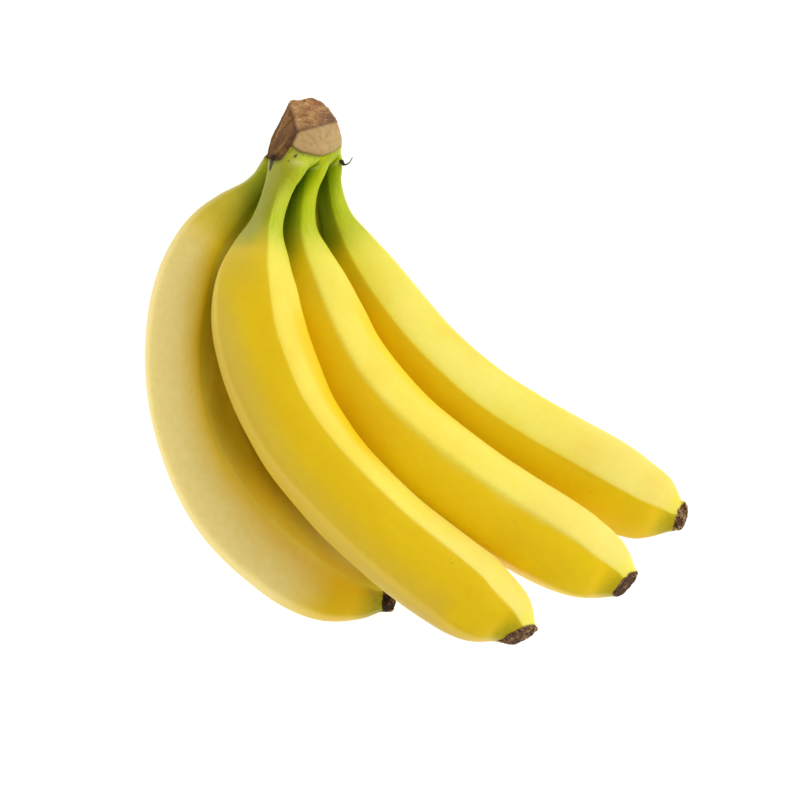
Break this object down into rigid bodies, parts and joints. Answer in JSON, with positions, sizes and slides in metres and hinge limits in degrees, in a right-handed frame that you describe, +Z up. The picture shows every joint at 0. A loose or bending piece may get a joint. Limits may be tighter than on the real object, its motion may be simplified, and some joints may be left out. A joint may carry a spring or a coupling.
{
  "type": "bunch of bananas",
  "caption": "Cluster of ripe yellow bananas with green necks, dry dark blossom ends and a cut woody crown, lying down as picked.",
  "frame": {"origin": "middle of the bunch's bounding box, on the surface it lies on", "axes": "+Z up from the surface; +X from the crown towards the tips, along the bunch's longest extent; +Y to the left of +X"},
  "size_m": [0.234, 0.1882, 0.0854],
  "materials": {
    "banana_peel": "ripe banana peel, satin, golden yellow turning green at the neck, with a dry brown blossom end",
    "crown_wood": "cut crown: fresh tan and dried brown faces over a green cushion, matt",
    "dry_fibre": "dry dark brown plant strand, matt"
  },
  "bodies": {
    "root": {"crown": "crown_wood", "banana_1": "banana_peel", "banana_2": "banana_peel", "banana_3": "banana_peel", "banana_4": "banana_peel", "banana_5": "banana_peel", "dried_fibre": "dry_fibre"}
  },
  "joints": []
}
